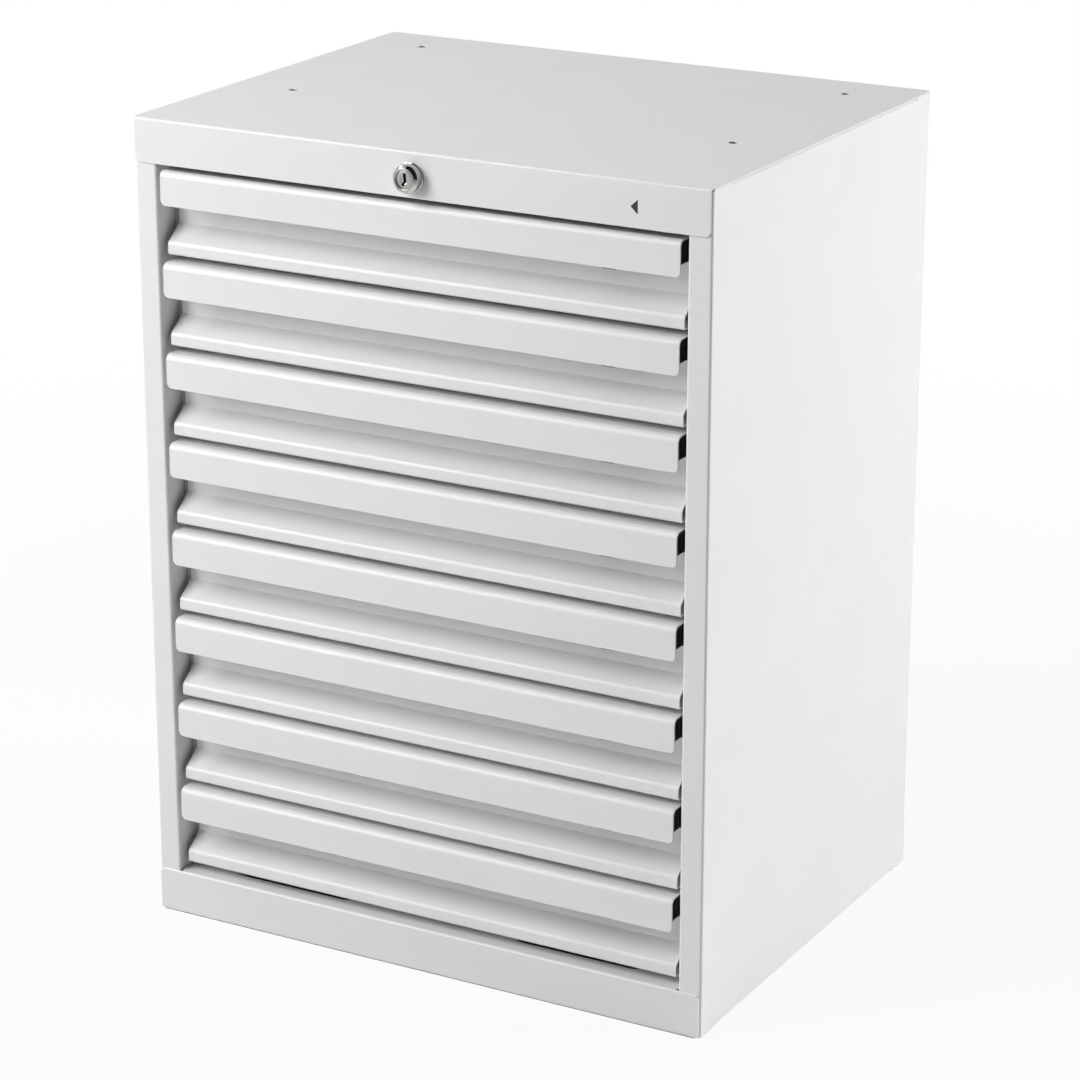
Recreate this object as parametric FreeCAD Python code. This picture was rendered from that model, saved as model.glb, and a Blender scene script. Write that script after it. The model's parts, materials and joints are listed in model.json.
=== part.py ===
import FreeCAD, Part
import math
import os

# Van drawer cabinet in folded sheet steel: eight latching drawers on full extension slides, and one lock.
# Millimetres. X runs to the right, Y to the back, Z up. The origin is the middle of the footprint, on the
# surface that the cabinet stands on, so the front plane lies half the depth before it.

# Cabinet envelope and case sheet
cabinet_width = 457.2
cabinet_depth = 355.6
cabinet_height = 609.6
case_sheet = 1.2
case_bend = 0.8  # inside radius of the folds that show on the case; hidden folds are drawn sharp
sheet_gap = 0.3  # assembly clearance between case panels that don't touch
cut_over = 1.0  # a cut goes this far past the sheet's faces
same_place = 0.01  # points nearer than this are taken as one
cubic_mm_in_cm = 1000.0
full_turn = 360.0

# Front frame
header_height = 32.5
toe_height = 33.0
stile_width = 18.0
jamb_depth = 21.5
lip_end_setback = 1.2  # the header and toe lips end this far short of the corners
lip_corner_radius = 4.5
toe_return = 15.0
fold_relief_width = 2.0  # small notches where the deck's front fold ends at the jambs
fold_relief_depth = 3.0
rear_lip_height = 20.0

# Side panel flanges
rear_flange = 15.0
top_flange = 18.0
bottom_flange = 25.0
flange_end_gap = 26.0  # top and bottom flanges stop this far from the front and rear planes

# Bolt holes in the top and slots in the deck
top_hole_radius = 3.5
top_hole_spread = 357.0
top_hole_front = 131.0  # from the front plane to the front pair
top_hole_pitch = 183.0
slot_length = 101.6
slot_width = 12.7
slot_spread = 241.0
slot_inset = 22.4  # from the front or rear plane to the slot's centre line

# Stiffening channel under the deck, its crown on the ground
channel_crown = 60.0
channel_flange = 15.0

# Slide uprights, hat sections on the side panels
upright_web = 30.0
upright_foot = 10.0
upright_sheet = 1.2
slide_plane_inset = 1.0  # the uprights' faces stand this far inside the opening's edges
jamb_to_upright = 1.3

# Drawers
drawer_count = 8
top_gap = 3.9
drawer_gap = 4.5
sill_gap = 6.3
front_side_gap = 4.4
front_sheet = 1.2
pull_face = 1.0  # the pull lip stands this far before the front plane
pull_height = 25.4
pull_bend = 5.0  # outside radius of the fold at the top of the pull lip
pull_corner_radius = 4.0  # the pull lip's lower corners
recess_depth = 21.0
crease_height = 20.4  # above the drawer front's lower edge
slope_foot_height = 8.7
lower_lip_depth = 6.0
front_bottom_flange = 22.0
box_sheet = 0.9
box_height = 50.0
box_rim = 7.0
box_to_lock_bar = 19.7  # from the box's rear face to the lock bar
front_seat = 0.2  # the box's edges stop this far behind the folded front

# Ball bearing slides
slide_to_back = 24.4  # from the slides' rear ends to the back panel
slide_height = 45.4
slide_depth = 12.7
slide_sheet = 1.2
slide_ball = 3.5
slide_clearance = 0.3
cabinet_member_reach = 9.0
middle_member_set = 2.0
middle_member_reach = 10.6
drawer_member_reach = 8.1

# Drawer latches
latch_clearance = 0.3
latch_height = 15.1
latch_depth = 17.0
latch_head_length = 20.0
latch_length = 59.2  # from the finger tab's far end to the head's end
latch_travel = 7.0
tongue_inset = 9.5  # from the front plane to the tongue's front face
tongue_depth = 7.5
tongue_reach = 4.4  # into the jamb, past the opening's edge
tongue_slant = 4.5
jamb_slot_clearance = 0.7
jamb_slot_end_gap = 0.8
bar_thickness = 3.0
bar_height = 9.0
tab_width = 10.5
tab_depth = 8.5
tab_peek = 0.9  # the finger tab reaches this far below the pull lip
tab_chamfer = 2.0
keeper_sheet = 1.2
keeper_length = 34.0
keeper_end_gap = 2.0  # from the drawer front's right-hand end
keeper_foot_gap = 2.0  # the keeper's foot ends this far behind the head's front face

# Lock in the header
lock_drop = 18.0  # from the top of the cabinet to the lock's axis
bezel_radius = 10.75
bezel_rim = 1.4
bezel_reach = 9.0
bezel_face_radius = 8.1
lock_body_radius = 9.0
lock_body_length = 22.0
lock_hole_clearance = 0.1
plug_radius = 6.4
plug_clearance = 0.05
plug_recess = 0.7
plug_tail = 2.0
keyway_width = 1.8
keyway_height = 9.0
keyway_depth = 12.0
nut_sides = 6
nut_across_flats = 22.0
nut_thickness = 4.0

# Lock rod, crank and bar behind the drawers
rod_radius = 3.0
crank_radius = 11.0
crank_width = 8.0
crank_thickness = 2.5
crank_pin_radius = 2.5
crank_swing = 90.0
crank_gap = 5.0  # from the crank's rear face to the lock bar
yoke_clearance = 0.45
rod_bracket_width = 20.0
rod_bracket_foot = 12.0
rod_bracket_before_crank = 20.0
lock_bar_width = 22.0
lock_bar_thickness = 2.0
peg_width = 5.0
peg_thickness = 3.0
peg_length = 14.5
peg_lift = 2.0  # free height over the lug when unlocked
lug_sheet = 1.5
lug_width = 16.0
lug_reach = 10.5
lug_leg = 8.0
lug_height = 30.0
lug_hole_width = 8.0
lug_hole_depth = 5.0
guide_height = 14.0
guide_foot = 8.0
guide_sheet = 1.2
guide_above_lug = 30.0

# Places that follow from the sizes
half_width = cabinet_width / 2
front = -cabinet_depth / 2
rear = cabinet_depth / 2
case_middle = case_bend + case_sheet / 2
inner_half = half_width - case_sheet
opening_half = half_width - stile_width
lip_half = half_width - lip_end_setback
under_top = cabinet_height - case_sheet
stile_face = front + case_sheet
jamb_end = stile_face + jamb_depth
rear_flange_face = rear - 2 * case_sheet

slide_plane = opening_half - slide_plane_inset
box_half = slide_plane - slide_depth
front_half = opening_half - front_side_gap
opening_height = cabinet_height - header_height - toe_height
drawer_pitch = (opening_height - top_gap - sill_gap + drawer_gap) / drawer_count
front_height = drawer_pitch - drawer_gap
lowest_front = toe_height + sill_gap
slide_front = jamb_end + jamb_to_upright
back_inside = rear_flange_face
slide_length = back_inside - slide_to_back - slide_front
slide_middle_height = front_sheet + box_height / 2

pull_outside = front - pull_face
pull_inside = pull_outside + front_sheet
latch_front = pull_inside + latch_clearance
latch_top = front_height - front_sheet - latch_clearance
latch_rear = latch_front + latch_depth
latch_bottom = latch_top - latch_height
latch_round = pull_bend - front_sheet - latch_clearance
tongue_front = front + tongue_inset
tongue_rear = tongue_front + tongue_depth
tongue_root = front_half  # the latch's head ends flush with the drawer front
tongue_tip = opening_half + tongue_reach
tab_left = tongue_root - latch_length
bar_top = front_height - pull_bend - latch_clearance

lock_height = cabinet_height - lock_drop
lock_rod_start = front + lock_body_length + plug_tail
half_swing = math.radians(crank_swing / 2)
crank_lift = crank_radius * math.sin(half_swing)
lock_bar_travel = 2 * crank_lift
lock_bar_x = crank_radius * (1 + math.cos(half_swing)) / 2
lock_bar_rear = back_inside - sheet_gap
lock_bar_front = lock_bar_rear - lock_bar_thickness
box_back = lock_bar_front - box_to_lock_bar
crank_rear = lock_bar_front - crank_gap
crank_front = crank_rear - crank_thickness
lug_hole_middle = box_back + lug_reach / 2
peg_front = lug_hole_middle - peg_thickness / 2


def in_plan(u, v):
    """A point of a section that is drawn from above."""
    return FreeCAD.Vector(u, v, 0)


def in_side_view(u, v):
    """A point of a section that is drawn from the right: u runs back and v up."""
    return FreeCAD.Vector(0, u, v)


def in_front_view(u, v):
    """A point of a section that is drawn from the front."""
    return FreeCAD.Vector(u, 0, v)


def segment(start, end, place):
    return Part.LineSegment(place(start.x, start.y), place(end.x, end.y)).toShape()


def bend_arc(start, through, end, place):
    points = [place(point.x, point.y) for point in (start, through, end)]
    return Part.Arc(*points).toShape()


def sheet_side(middle, bends, offset, place):
    """One face of a folded sheet. The sheet's mid-line has sharp corners at the given points, and each
    inner corner has a mid-line bend radius, where 0 leaves a mitred corner. Returns edges and both ends."""
    points = [FreeCAD.Vector(u, v, 0) for u, v in middle]
    runs = [(after - before).normalize() for before, after in zip(points, points[1:])]
    sides = [FreeCAD.Vector(-run.y, run.x, 0) for run in runs]
    first = points[0] + sides[0] * offset
    start = first
    edges = []
    for index, radius in enumerate(bends):
        corner = points[index + 1]
        turn = runs[index].getAngle(runs[index + 1])
        if radius == 0:
            across = (sides[index] + sides[index + 1]).normalize()
            end = corner + across * (offset / math.cos(turn / 2))
            edges.append(segment(start, end, place))
            start = end
            continue
        hand = 1 if runs[index].cross(runs[index + 1]).z > 0 else -1
        trim = radius * math.tan(turn / 2)
        bend_start = corner - runs[index] * trim
        bend_end = corner + runs[index + 1] * trim
        centre = bend_start + sides[index] * (hand * radius)
        outward = (corner - centre).normalize()
        arc_start = bend_start + sides[index] * offset
        arc_middle = centre + outward * (radius - hand * offset)
        arc_end = bend_end + sides[index + 1] * offset
        edges.append(segment(start, arc_start, place))
        edges.append(bend_arc(arc_start, arc_middle, arc_end, place))
        start = arc_end
    last = points[-1] + sides[-1] * offset
    edges.append(segment(start, last, place))
    return edges, first, last


def folded_section(middle, bends, sheet, place):
    """The cut face of a folded sheet, whose mid-line is given as corner points and bend radii."""
    left_edges, left_first, left_last = sheet_side(middle, bends, sheet / 2, place)
    right_edges, right_first, right_last = sheet_side(middle, bends, -sheet / 2, place)
    far_cap = segment(left_last, right_last, place)
    near_cap = segment(right_first, left_first, place)
    wire = Part.Wire(left_edges + [far_cap] + right_edges[::-1] + [near_cap])
    return Part.Face(wire)


def block(x_range, y_range, z_range):
    size = [high - low for low, high in (x_range, y_range, z_range)]
    return Part.makeBox(*size, FreeCAD.Vector(x_range[0], y_range[0], z_range[0]))


def round_bar(radius, y_range, x, z):
    """A round bar along Y."""
    base = FreeCAD.Vector(x, y_range[0], z)
    return Part.makeCylinder(radius, y_range[1] - y_range[0], base, FreeCAD.Vector(0, 1, 0))


def outline_prism(half, z_range, radius, y_range):
    """A plate across the front, whose outline has rounded corners."""
    low, high = z_range
    corners = [(-half, low), (half, low), (half, high), (-half, high)]
    edges = []
    arrival = None
    for x, z in corners + corners[:1]:
        centre_x = x - math.copysign(radius, x)
        centre_z = z + (radius if z == low else -radius)
        beside = FreeCAD.Vector(x, centre_z, 0)
        level = FreeCAD.Vector(centre_x, z, 0)
        goes_round_to_side = (x > 0) == (z == low)
        start, end = (level, beside) if goes_round_to_side else (beside, level)
        if arrival:
            edges.append(segment(arrival, start, in_front_view))
        if len(edges) == 2 * len(corners):
            break
        centre = FreeCAD.Vector(centre_x, centre_z, 0)
        outward = (FreeCAD.Vector(x, z, 0) - centre).normalize()
        edges.append(bend_arc(start, centre + outward * radius, end, in_front_view))
        arrival = end
    face = Part.Face(Part.Wire(edges))
    face.translate(FreeCAD.Vector(0, y_range[0], 0))
    return face.extrude(FreeCAD.Vector(0, y_range[1] - y_range[0], 0))


def trimmed_to_outline(shape, half, z_range, y_range, outline):
    """Cuts away what lies outside an outline, within a zone before or behind the cabinet."""
    zone = block((-half, half), y_range, z_range)
    return shape.cut(zone.cut(outline))


def mirrored(shape):
    """The left-hand twin of a right-hand piece."""
    return shape.mirror(FreeCAD.Vector(0, 0, 0), FreeCAD.Vector(1, 0, 0))


def obround_slot(x, y, z_range):
    """A long slot through the deck, with round ends."""
    straight = (slot_length - slot_width) / 2
    radius = slot_width / 2
    slot = block((x - straight, x + straight), (y - radius, y + radius), z_range)
    for end in (x - straight, x + straight):
        base = FreeCAD.Vector(end, y, z_range[0])
        slot = slot.fuse(Part.makeCylinder(radius, z_range[1] - z_range[0], base))
    return slot.removeSplitter()


def drawer_floor(index):
    """Height of the lower edge of a drawer front, counted from the top drawer."""
    return lowest_front + (drawer_count - 1 - index) * drawer_pitch


def save(name, shape):
    """Writes one node, and prints what it holds."""
    solids = shape.Solids
    whole = all(solid.isValid() for solid in solids)
    volume = round(shape.Volume / cubic_mm_in_cm, 2)
    print(name, len(solids), "solids", volume, "cm3", "valid" if whole else "BROKEN")
    shape.exportStep(os.path.join("parts", name + ".step"))


def side_panel():
    """Right side panel: stile and jamb return in front, flanges at the rear, top and bottom."""
    half_sheet = case_sheet / 2
    plate = half_width - half_sheet
    plan = [
        (opening_half + half_sheet, jamb_end),
        (opening_half + half_sheet, stile_face + half_sheet),
        (plate, stile_face + half_sheet),
        (plate, rear_flange_face - half_sheet),
        (inner_half - rear_flange, rear_flange_face - half_sheet),
    ]
    panel = folded_section(plan, [case_middle] * 3, case_sheet, in_plan)
    panel = panel.extrude(FreeCAD.Vector(0, 0, under_top))
    flange_start = front + flange_end_gap
    flange_run = cabinet_depth - 2 * flange_end_gap
    outside = block((inner_half, half_width), (flange_start, flange_start + flange_run), (0, under_top))
    elevation = [
        (inner_half - bottom_flange, half_sheet),
        (plate, half_sheet),
        (plate, under_top - half_sheet),
        (inner_half - top_flange, under_top - half_sheet),
    ]
    flanged = folded_section(elevation, [case_middle] * 2, case_sheet, in_front_view)
    flanged.translate(FreeCAD.Vector(0, flange_start, 0))
    flanged = flanged.extrude(FreeCAD.Vector(0, flange_run, 0))
    panel = panel.cut(outside).fuse(flanged).removeSplitter()
    header_fold = block((0, half_width), (front, stile_face + case_sheet), (under_top - case_bend, under_top))
    return panel.cut(header_fold)


def jamb_slots():
    """Slots in the right jamb, one for each latch tongue."""
    depth = (tongue_front - jamb_slot_clearance, tongue_rear + jamb_slot_clearance)
    width = (opening_half - case_sheet, opening_half + 2 * case_sheet)
    slots = []
    for index in range(drawer_count):
        top = drawer_floor(index) + latch_top + jamb_slot_end_gap
        bottom = drawer_floor(index) + latch_bottom - jamb_slot_end_gap
        slots.append(block(width, depth, (bottom, top)))
    return Part.makeCompound(slots)


def top_panel():
    """Top plate with the header lip folded down in front and a lip behind."""
    half_sheet = case_sheet / 2
    profile = [
        (front + half_sheet, cabinet_height - header_height),
        (front + half_sheet, cabinet_height - half_sheet),
        (rear - half_sheet, cabinet_height - half_sheet),
        (rear - half_sheet, cabinet_height - rear_lip_height),
    ]
    section = folded_section(profile, [case_middle] * 2, case_sheet, in_side_view)
    section.translate(FreeCAD.Vector(-half_width, 0, 0))
    panel = section.extrude(FreeCAD.Vector(cabinet_width, 0, 0))
    relief = case_bend + 2 * case_sheet
    front_zone = (front, front + relief)
    header_range = (cabinet_height - header_height, cabinet_height)
    header_outline = outline_prism(
        lip_half, (header_range[0], cabinet_height + lip_corner_radius), lip_corner_radius, front_zone
    )
    panel = trimmed_to_outline(panel, half_width, header_range, front_zone, header_outline)
    rear_zone = (rear - relief, rear)
    rear_corner = block((lip_half, half_width), rear_zone, (under_top - rear_lip_height, cabinet_height))
    panel = panel.cut([rear_corner, mirrored(rear_corner)])
    for x in (-top_hole_spread / 2, top_hole_spread / 2):
        for y in (front + top_hole_front, front + top_hole_front + top_hole_pitch):
            base = FreeCAD.Vector(x, y, under_top - cut_over)
            panel = panel.cut(Part.makeCylinder(top_hole_radius, case_sheet + 2 * cut_over, base))
    header_depth = (front - cut_over, stile_face + cut_over)
    return panel.cut(round_bar(lock_body_radius + lock_hole_clearance, header_depth, 0, lock_height))


def base_panel():
    """Deck with toe lip, rear lip and returns folded down, side flanges, and long bolt slots."""
    half_sheet = case_sheet / 2
    profile = [
        (front + toe_return, half_sheet),
        (front + half_sheet, half_sheet),
        (front + half_sheet, toe_height - half_sheet),
        (rear - half_sheet, toe_height - half_sheet),
        (rear - half_sheet, half_sheet),
        (rear - toe_return, half_sheet),
    ]
    section = folded_section(profile, [0, case_middle, case_middle, 0], case_sheet, in_side_view)
    section.translate(FreeCAD.Vector(-lip_half, 0, 0))
    panel = section.extrude(FreeCAD.Vector(2 * lip_half, 0, 0))
    outside = half_width + cut_over
    over_deck = toe_height + cut_over
    through = (-cut_over, over_deck)
    jamb_notch = (front + case_sheet, jamb_end + sheet_gap)
    flange_notch = (rear_flange_face - case_sheet - case_bend - sheet_gap, rear - case_sheet)
    between = (front + case_sheet, rear - case_sheet)
    relief = (front + case_sheet, front + case_sheet + fold_relief_depth)
    notches = [
        block((opening_half - sheet_gap, outside), jamb_notch, through),
        block((opening_half - fold_relief_width, outside), relief, (toe_height / 2, over_deck)),
        block((inner_half - rear_flange - sheet_gap, outside), flange_notch, through),
        block((inner_half, outside), between, through),
    ]
    for notch in notches:
        panel = panel.cut(notch).cut(mirrored(notch))
    along = (front + flange_end_gap, rear - flange_end_gap)
    hanging = (toe_height - rear_flange, toe_height - half_sheet)
    flange = block((inner_half - case_sheet, inner_half), along, hanging)
    panel = panel.fuse([flange, mirrored(flange)]).removeSplitter()
    lip_zone = (front, front + case_sheet)
    toe_outline = outline_prism(lip_half, (-lip_corner_radius, toe_height), lip_corner_radius, lip_zone)
    panel = trimmed_to_outline(panel, half_width, (0, toe_height), lip_zone, toe_outline)
    for x in (-slot_spread / 2, slot_spread / 2):
        for y in (front + slot_inset, rear - slot_inset):
            panel = panel.cut(obround_slot(x, y, (toe_height / 2, over_deck)))
    return panel


def back_panel():
    """Flat back, which stands on the deck behind the side panels' flanges."""
    return block(
        (-lip_half, lip_half),
        (rear_flange_face, rear_flange_face + case_sheet),
        (toe_height, under_top - case_bend),
    )


def base_channel():
    """Hat section across the cabinet under the deck. The cabinet's load goes through its crown."""
    half_sheet = case_sheet / 2
    half_crown = channel_crown / 2
    high = toe_height - case_sheet - half_sheet
    side = half_crown - half_sheet
    profile = [
        (-side - channel_flange, high),
        (-side, high),
        (-side, half_sheet),
        (side, half_sheet),
        (side, high),
        (side + channel_flange, high),
    ]
    section = folded_section(profile, [0] * 4, case_sheet, in_side_view)
    half_length = inner_half - bottom_flange - sheet_gap
    section.translate(FreeCAD.Vector(-half_length, 0, 0))
    return section.extrude(FreeCAD.Vector(2 * half_length, 0, 0))


def slide_uprights():
    """The two right-hand uprights, under the front and rear ends of the slides."""
    half_sheet = upright_sheet / 2
    foot = inner_half - half_sheet
    web = slide_plane + half_sheet
    uprights = []
    for start in (slide_front, slide_front + slide_length - upright_web):
        near = start + half_sheet
        far = start + upright_web - half_sheet
        plan = [
            (foot, near - upright_foot),
            (foot, near),
            (web, near),
            (web, far),
            (foot, far),
            (foot, far + upright_foot),
        ]
        section = folded_section(plan, [0] * 4, upright_sheet, in_plan)
        section.translate(FreeCAD.Vector(0, 0, toe_height))
        height = under_top - case_sheet - case_bend - toe_height
        uprights.append(section.extrude(FreeCAD.Vector(0, 0, height)))
    return Part.makeCompound(uprights)


def slide_member(profile):
    """Right-hand slide member, from a mid-line of distances from the upright and heights from the middle."""
    middle = [(slide_plane - reach, height) for reach, height in profile]
    bends = [0] * (len(middle) - 2)
    section = folded_section(middle, bends, slide_sheet, in_front_view)
    section.translate(FreeCAD.Vector(0, slide_front, slide_middle_height))
    return section.extrude(FreeCAD.Vector(0, slide_length, 0))


def slide_members():
    """Cabinet, middle and drawer members of one right-hand slide, at the height of a drawer front's edge."""
    half_sheet = slide_sheet / 2
    cabinet_half = slide_height / 2
    middle_half = cabinet_half - slide_sheet - slide_ball
    drawer_half = middle_half - slide_sheet - slide_ball + slide_clearance
    cabinet_curl = middle_half + slide_clearance
    middle_curl = drawer_half + slide_clearance
    cabinet_member = slide_member(
        [
            (cabinet_member_reach - half_sheet, cabinet_curl),
            (cabinet_member_reach - half_sheet, cabinet_half - half_sheet),
            (half_sheet, cabinet_half - half_sheet),
            (half_sheet, half_sheet - cabinet_half),
            (cabinet_member_reach - half_sheet, half_sheet - cabinet_half),
            (cabinet_member_reach - half_sheet, -cabinet_curl),
        ]
    )
    middle_web = middle_member_set + half_sheet
    middle_member = slide_member(
        [
            (middle_member_reach - half_sheet, middle_curl),
            (middle_member_reach - half_sheet, middle_half - half_sheet),
            (middle_web, middle_half - half_sheet),
            (middle_web, half_sheet - middle_half),
            (middle_member_reach - half_sheet, half_sheet - middle_half),
            (middle_member_reach - half_sheet, -middle_curl),
        ]
    )
    drawer_member = slide_member(
        [
            (slide_depth - drawer_member_reach, drawer_half - half_sheet),
            (slide_depth - half_sheet, drawer_half - half_sheet),
            (slide_depth - half_sheet, half_sheet - drawer_half),
            (slide_depth - drawer_member_reach, half_sheet - drawer_half),
        ]
    )
    return cabinet_member, middle_member, drawer_member


def front_profile():
    """Mid-line of a drawer front from the pull lip's lower edge round to the bottom flange."""
    half_sheet = front_sheet / 2
    pull = pull_outside + half_sheet
    recess = front + recess_depth + half_sheet
    lower = front + lower_lip_depth + half_sheet
    top = front_height - half_sheet
    return [
        (pull, front_height - pull_height),
        (pull, top),
        (recess, top),
        (recess, crease_height),
        (lower, slope_foot_height),
        (lower, half_sheet),
        (lower + front_bottom_flange, half_sheet),
    ]


def drawer_front():
    """One folded sheet: pull lip, top flange, recess, slope, lower lip and bottom flange. It carries the
    latch's keeper."""
    bends = [pull_bend - front_sheet / 2, 0, 0, 0, 0]
    section = folded_section(front_profile(), bends, front_sheet, in_side_view)
    section.translate(FreeCAD.Vector(-front_half, 0, 0))
    sheet = section.extrude(FreeCAD.Vector(2 * front_half, 0, 0))
    pull_zone = (pull_outside, front + recess_depth - front_sheet)
    pull_range = (front_height - pull_height, front_height)
    over_pull = front_height + pull_corner_radius
    outline = outline_prism(front_half, (pull_range[0], over_pull), pull_corner_radius, pull_zone)
    sheet = trimmed_to_outline(sheet, front_half, pull_range, pull_zone, outline)
    return sheet.fuse(latch_keeper()).removeSplitter()


def latch_keeper():
    """Angle under the top flange, behind and below the latch's head, which slides in it."""
    half_sheet = keeper_sheet / 2
    leg = latch_rear + latch_clearance + half_sheet
    foot = latch_bottom - latch_clearance - half_sheet
    profile = [
        (leg, front_height - front_sheet),
        (leg, foot),
        (latch_front + keeper_foot_gap, foot),
    ]
    section = folded_section(profile, [0], keeper_sheet, in_side_view)
    right_end = front_half - keeper_end_gap
    section.translate(FreeCAD.Vector(right_end - keeper_length, 0, 0))
    return section.extrude(FreeCAD.Vector(keeper_length, 0, 0))


def front_clearance():
    """The space before the drawer box's front edges, which the folded front fills."""
    offset = front_sheet / 2 + front_seat
    corners = front_profile()[2:5]
    edges = sheet_side(corners, [0], offset, in_side_view)[0]
    outline = [vertex.Point for vertex in Part.Wire(edges).OrderedVertexes]
    foot = front + lower_lip_depth + front_sheet + front_seat
    far_front = pull_outside - cut_over
    over_top = 2 * front_height
    lean = (outline[2].y - outline[1].y) / (outline[2].z - outline[1].z)
    foot_height = outline[1].z + (foot - outline[1].y) / lean
    points = [
        FreeCAD.Vector(0, outline[0].y, over_top),
        outline[1],
        FreeCAD.Vector(0, foot, foot_height),
        FreeCAD.Vector(0, foot, -front_height),
        FreeCAD.Vector(0, far_front, -front_height),
        FreeCAD.Vector(0, far_front, over_top),
    ]
    face = Part.Face(Part.makePolygon(points + points[:1]))
    face.translate(FreeCAD.Vector(-half_width, 0, 0))
    return face.extrude(FreeCAD.Vector(cabinet_width, 0, 0))


def lock_lug():
    """Angle on the drawer's back, with the hole that the lock bar's peg drops into."""
    half_sheet = lug_sheet / 2
    profile = [
        (box_back + half_sheet, lug_height - lug_leg),
        (box_back + half_sheet, lug_height - half_sheet),
        (box_back + lug_reach, lug_height - half_sheet),
    ]
    section = folded_section(profile, [0], lug_sheet, in_side_view)
    section.translate(FreeCAD.Vector(lock_bar_x - lug_width / 2, 0, 0))
    lug = section.extrude(FreeCAD.Vector(lug_width, 0, 0))
    hole_x = (lock_bar_x - lug_hole_width / 2, lock_bar_x + lug_hole_width / 2)
    hole_y = (lug_hole_middle - lug_hole_depth / 2, lug_hole_middle + lug_hole_depth / 2)
    return lug.cut(block(hole_x, hole_y, (lug_height - 2 * lug_sheet, lug_height + lug_sheet)))


def drawer_box():
    """Bottom and sides in one folded sheet with rims turned in, and a back that carries the lock lug."""
    half_sheet = box_sheet / 2
    floor = front_sheet + half_sheet
    top = front_sheet + box_height - half_sheet
    wall = box_half - half_sheet
    rim = box_half - box_rim
    profile = [(-rim, top), (-wall, top), (-wall, floor), (wall, floor), (wall, top), (rim, top)]
    section = folded_section(profile, [0] * 4, box_sheet, in_front_view)
    section.translate(FreeCAD.Vector(0, front, 0))
    shell = section.extrude(FreeCAD.Vector(0, box_back - front, 0))
    back = block(
        (-box_half + box_sheet, box_half - box_sheet),
        (box_back - box_sheet, box_back),
        (front_sheet + box_sheet / 2, front_sheet + box_height - box_sheet / 2),
    )
    box = shell.fuse([back, lock_lug()]).removeSplitter()
    return box.cut(front_clearance())


def latch_tongue():
    """The tongue that enters the jamb. Its rear is slanted, so that closing the drawer pushes it back."""
    points = [
        (tongue_root, tongue_front),
        (tongue_tip, tongue_front),
        (tongue_tip, tongue_rear - tongue_slant),
        (tongue_root, tongue_rear),
    ]
    corners = [FreeCAD.Vector(x, y, latch_bottom) for x, y in points]
    face = Part.Face(Part.makePolygon(corners + corners[:1]))
    return face.extrude(FreeCAD.Vector(0, 0, latch_height))


def drawer_latch():
    """Moulded slider behind the pull lip: head with tongue, bar and finger tab."""
    head_start = tongue_root - latch_head_length
    head = block((head_start, tongue_root), (latch_front, latch_rear), (latch_bottom, latch_top))
    top_edges = []
    for edge in head.Edges:
        centre = edge.CenterOfMass
        if abs(centre.y - latch_front) < same_place and abs(centre.z - latch_top) < same_place:
            top_edges.append(edge)
    head = head.makeFillet(latch_round, top_edges)
    tab_end = tab_left + tab_width
    bar_depth = (latch_front, latch_front + bar_thickness)
    bar = block((tab_left, head_start), bar_depth, (bar_top - bar_height, bar_top))
    tab_bottom = front_height - pull_height - tab_peek
    tab = block((tab_left, tab_end), (latch_front, latch_front + tab_depth), (tab_bottom, bar_top))
    tab_edges = []
    for edge in tab.Edges:
        centre = edge.CenterOfMass
        along = edge.BoundBox.XLength > tab_width / 2
        if along and centre.y > latch_front + tab_depth / 2:
            tab_edges.append(edge)
    tab = tab.makeChamfer(tab_chamfer, tab_edges)
    return head.fuse([latch_tongue(), bar, tab]).removeSplitter()


def revolved_about_lock(profile):
    """A turned piece on the lock's axis, from radii and distances behind the front plane."""
    points = [FreeCAD.Vector(radius, front + y, lock_height) for radius, y in profile]
    face = Part.Face(Part.makePolygon(points + points[:1]))
    return face.revolve(FreeCAD.Vector(0, 0, lock_height), FreeCAD.Vector(0, 1, 0), full_turn)


def lock_housing():
    """Bezel with a rounded nose before the header, and the body that passes through it."""
    bore = plug_radius + plug_clearance
    nose = -bezel_reach
    profile = [
        (bore, nose),
        (bezel_face_radius, nose),
        (bezel_radius, -bezel_rim),
        (bezel_radius, 0),
        (lock_body_radius, 0),
        (lock_body_radius, lock_body_length),
        (bore, lock_body_length),
    ]
    return revolved_about_lock(profile)


def lock_plug():
    """Plug with its keyway. Its rear end stands out of the housing and carries the lock rod."""
    face = front - bezel_reach + plug_recess
    plug = round_bar(plug_radius, (face, lock_rod_start), 0, lock_height)
    keyway = block(
        (-keyway_width / 2, keyway_width / 2),
        (face - cut_over, face + keyway_depth),
        (lock_height - keyway_height / 2, lock_height + keyway_height / 2),
    )
    return plug.cut(keyway)


def lock_nut():
    """Hexagonal nut that clamps the housing to the header."""
    corner = nut_across_flats / 2 / math.cos(math.pi / nut_sides)
    points = []
    for step in range(nut_sides + 1):
        angle = math.radians(full_turn * step / nut_sides)
        height = lock_height + corner * math.sin(angle)
        points.append(FreeCAD.Vector(corner * math.cos(angle), stile_face, height))
    nut = Part.Face(Part.makePolygon(points)).extrude(FreeCAD.Vector(0, nut_thickness, 0))
    depth = (stile_face - cut_over, stile_face + nut_thickness + cut_over)
    return nut.cut(round_bar(lock_body_radius + plug_clearance, depth, 0, lock_height))


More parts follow.
